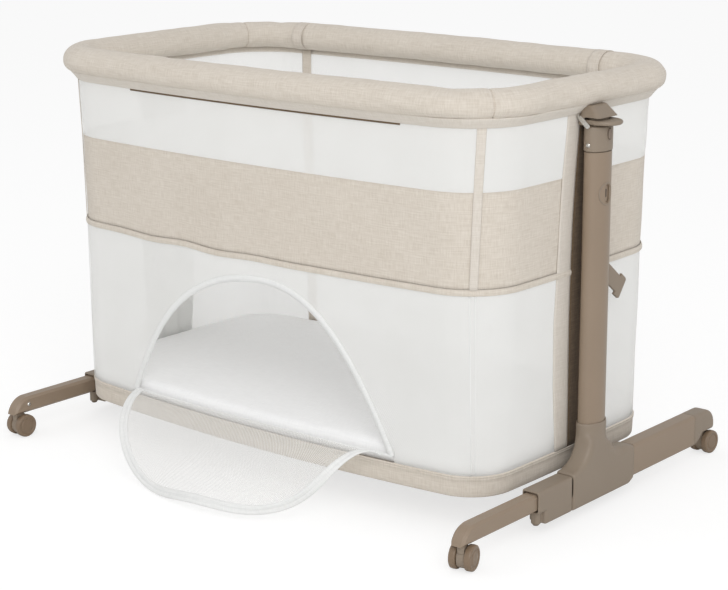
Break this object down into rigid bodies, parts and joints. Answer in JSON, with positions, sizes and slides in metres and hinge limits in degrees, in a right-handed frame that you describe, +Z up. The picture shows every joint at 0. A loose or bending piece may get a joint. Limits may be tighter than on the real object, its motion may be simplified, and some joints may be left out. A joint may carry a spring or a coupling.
{
  "type": "bedside sleeper crib",
  "caption": "Bedside crib: padded rail, mesh walls with an arched drop-down door, and a mattress tray, on height-adjustable posts with castored feet.",
  "frame": {"origin": "on the floor, midway between the two posts and midway along them, which is the middle of the cloth body", "axes": "+X along the crib towards the end at the right of the picture, -Y to the side with the arched door (the parent's bed), +Z up"},
  "size_m": [1.0196, 0.7663, 0.6743],
  "materials": {
    "linen": "beige melange woven cloth",
    "white_mesh": "white open warp-knit mesh",
    "white_tape": "white woven binding tape",
    "mattress_cover": "white quilt-free knitted cover over foam",
    "dark_tape": "dark brown woven zip tape",
    "taupe_steel": "taupe powder coat on oval steel tube",
    "taupe_plastic": "fine-textured moulded plastic",
    "grey_button": "moulded plastic, slightly darker",
    "bright_metal": "plated steel",
    "bare_steel": "plain steel tube, hidden",
    "board": "thin fibre board",
    "caster_plastic": "smooth moulded wheel"
  },
  "bodies": {
    "stand_right": {"outer_tube_right": "taupe_steel", "base_block_right": "taupe_plastic", "rear_leg_right": "taupe_steel", "rear_cap_right": "taupe_plastic", "leg_sleeve_right": "taupe_plastic", "strap_anchor_right": "taupe_plastic"},
    "stand_left": {"outer_tube_left": "taupe_steel", "base_block_left": "taupe_plastic", "rear_leg_left": "taupe_steel", "rear_cap_left": "taupe_plastic", "leg_sleeve_left": "taupe_plastic", "strap_anchor_left": "taupe_plastic"},
    "crib": {"rail_tube": "bare_steel", "rail_cover": "linen", "rail_straps": "linen", "upper_mesh": "white_mesh", "linen_band": "linen", "band_welt": "linen", "lower_mesh": "white_mesh", "door_binding": "white_tape", "linen_strips": "linen", "zip_tapes": "dark_tape", "zip_pulls": "bright_metal", "base_cover": "linen", "base_frame": "bare_steel", "base_board": "board", "mattress": "mattress_cover", "inner_tube_right": "taupe_steel", "collar_right": "taupe_plastic", "post_head_right": "taupe_plastic", "collar_rivets_right": "bright_metal", "inner_tube_left": "taupe_steel", "collar_left": "taupe_plastic", "post_head_left": "taupe_plastic", "collar_rivets_left": "bright_metal"},
    "door_flap": {"flap_mesh": "white_mesh", "flap_binding": "white_tape"},
    "extending_leg_right": {"front_leg_right": "taupe_steel", "leg_snap_right": "bright_metal"},
    "leg_release_right": {"leg_button_right": "grey_button"},
    "height_lever_right": {"height_paddle_right": "taupe_plastic"},
    "lock_button_right": {"collar_button_right": "grey_button"},
    "extending_leg_left": {"front_leg_left": "taupe_steel", "leg_snap_left": "bright_metal"},
    "leg_release_left": {"leg_button_left": "grey_button"},
    "height_lever_left": {"height_paddle_left": "taupe_plastic"},
    "lock_button_left": {"collar_button_left": "grey_button"},
    "caster_front_right": {"caster_housing_front_right": "taupe_plastic"},
    "wheel_a_front_right": {"caster_wheel_a_front_right": "caster_plastic"},
    "wheel_b_front_right": {"caster_wheel_b_front_right": "caster_plastic"},
    "caster_front_left": {"caster_housing_front_left": "taupe_plastic"},
    "wheel_a_front_left": {"caster_wheel_a_front_left": "caster_plastic"},
    "wheel_b_front_left": {"caster_wheel_b_front_left": "caster_plastic"},
    "caster_rear_right": {"caster_housing_rear_right": "taupe_plastic"},
    "wheel_a_rear_right": {"caster_wheel_a_rear_right": "caster_plastic"},
    "wheel_b_rear_right": {"caster_wheel_b_rear_right": "caster_plastic"},
    "caster_rear_left": {"caster_housing_rear_left": "taupe_plastic"},
    "wheel_a_rear_left": {"caster_wheel_a_rear_left": "caster_plastic"},
    "wheel_b_rear_left": {"caster_wheel_b_rear_left": "caster_plastic"}
  },
  "joints": [
    {"name": "height_right", "type": "slide", "parent": "stand_right", "child": "crib", "axis": [0, 0, 1], "range_m": [0, 0.16]},
    {"name": "height_left", "type": "slide", "parent": "crib", "child": "stand_left", "axis": [0, 0, -1], "range_m": [0, 0.16]},
    {"name": "leg_slide_right", "type": "slide", "parent": "stand_right", "child": "extending_leg_right", "axis": [0, 1, 0], "range_m": [0, 0.1]},
    {"name": "leg_release_right_press", "type": "slide", "parent": "stand_right", "child": "leg_release_right", "axis": [0, 0, 1], "range_m": [0, 0.003], "stiffness_N_per_m": 400},
    {"name": "height_lever_right_squeeze", "type": "hinge", "parent": "crib", "child": "height_lever_right", "pos_m": [0.4575, 0, 0.6046], "axis": [0, -1, 0], "range_deg": [0, 5], "stiffness_Nm_per_rad": 0.6},
    {"name": "lock_button_right_press", "type": "slide", "parent": "crib", "child": "lock_button_right", "axis": [-1, 0, 0], "range_m": [0, 0.0025], "stiffness_N_per_m": 400},
    {"name": "leg_slide_left", "type": "slide", "parent": "stand_left", "child": "extending_leg_left", "axis": [0, 1, 0], "range_m": [0, 0.1]},
    {"name": "leg_release_left_press", "type": "slide", "parent": "stand_left", "child": "leg_release_left", "axis": [0, 0, 1], "range_m": [0, 0.003], "stiffness_N_per_m": 400},
    {"name": "height_lever_left_squeeze", "type": "hinge", "parent": "crib", "child": "height_lever_left", "pos_m": [-0.4575, 0, 0.6046], "axis": [0, 1, 0], "range_deg": [0, 5], "stiffness_Nm_per_rad": 0.6},
    {"name": "lock_button_left_press", "type": "slide", "parent": "crib", "child": "lock_button_left", "axis": [1, 0, 0], "range_m": [0, 0.0025], "stiffness_N_per_m": 400},
    {"name": "flap_hinge", "type": "hinge", "parent": "crib", "child": "door_flap", "pos_m": [0, -0.2589, 0.1061], "axis": [-1, 0, 0], "range_deg": [0, 125]},
    {"name": "caster_front_right_swivel", "type": "hinge", "parent": "extending_leg_right", "child": "caster_front_right", "pos_m": [0.477, -0.337, 0.045], "axis": [0, 0, 1], "continuous": true},
    {"name": "wheel_a_front_right_roll", "type": "hinge", "parent": "caster_front_right", "child": "wheel_a_front_right", "pos_m": [0.47555, -0.33118, 0.0195], "axis": [0.9703, 0.2419, 0], "continuous": true},
    {"name": "wheel_b_front_right_roll", "type": "hinge", "parent": "caster_front_right", "child": "wheel_b_front_right", "pos_m": [0.47555, -0.33118, 0.0195], "axis": [0.9703, 0.2419, 0], "continuous": true},
    {"name": "caster_front_left_swivel", "type": "hinge", "parent": "extending_leg_left", "child": "caster_front_left", "pos_m": [-0.477, -0.337, 0.045], "axis": [0, 0, 1], "continuous": true},
    {"name": "wheel_a_front_left_roll", "type": "hinge", "parent": "caster_front_left", "child": "wheel_a_front_left", "pos_m": [-0.47648, -0.33102, 0.0195], "axis": [0.9962, -0.0872, 0], "continuous": true},
    {"name": "wheel_b_front_left_roll", "type": "hinge", "parent": "caster_front_left", "child": "wheel_b_front_left", "pos_m": [-0.47648, -0.33102, 0.0195], "axis": [0.9962, -0.0872, 0], "continuous": true},
    {"name": "caster_rear_right_swivel", "type": "hinge", "parent": "stand_right", "child": "caster_rear_right", "pos_m": [0.477, 0.337, 0.045], "axis": [0, 0, 1], "continuous": true},
    {"name": "wheel_a_rear_right_roll", "type": "hinge", "parent": "caster_rear_right", "child": "wheel_a_rear_right", "pos_m": [0.47742, 0.34298, 0.0195], "axis": [0.9976, -0.0698, 0], "continuous": true},
    {"name": "wheel_b_rear_right_roll", "type": "hinge", "parent": "caster_rear_right", "child": "wheel_b_rear_right", "pos_m": [0.47742, 0.34298, 0.0195], "axis": [0.9976, -0.0698, 0], "continuous": true},
    {"name": "caster_rear_left_swivel", "type": "hinge", "parent": "stand_left", "child": "caster_rear_left", "pos_m": [-0.477, 0.337, 0.045], "axis": [0, 0, 1], "continuous": true},
    {"name": "wheel_a_rear_left_roll", "type": "hinge", "parent": "caster_rear_left", "child": "wheel_a_rear_left", "pos_m": [-0.47763, 0.34297, 0.0195], "axis": [0.9945, 0.1045, 0], "continuous": true},
    {"name": "wheel_b_rear_left_roll", "type": "hinge", "parent": "caster_rear_left", "child": "wheel_b_rear_left", "pos_m": [-0.47763, 0.34297, 0.0195], "axis": [0.9945, 0.1045, 0], "continuous": true}
  ],
  "couplings": [
    {"joint": "height_left", "follows": "height_right", "ratio": 1}
  ]
}
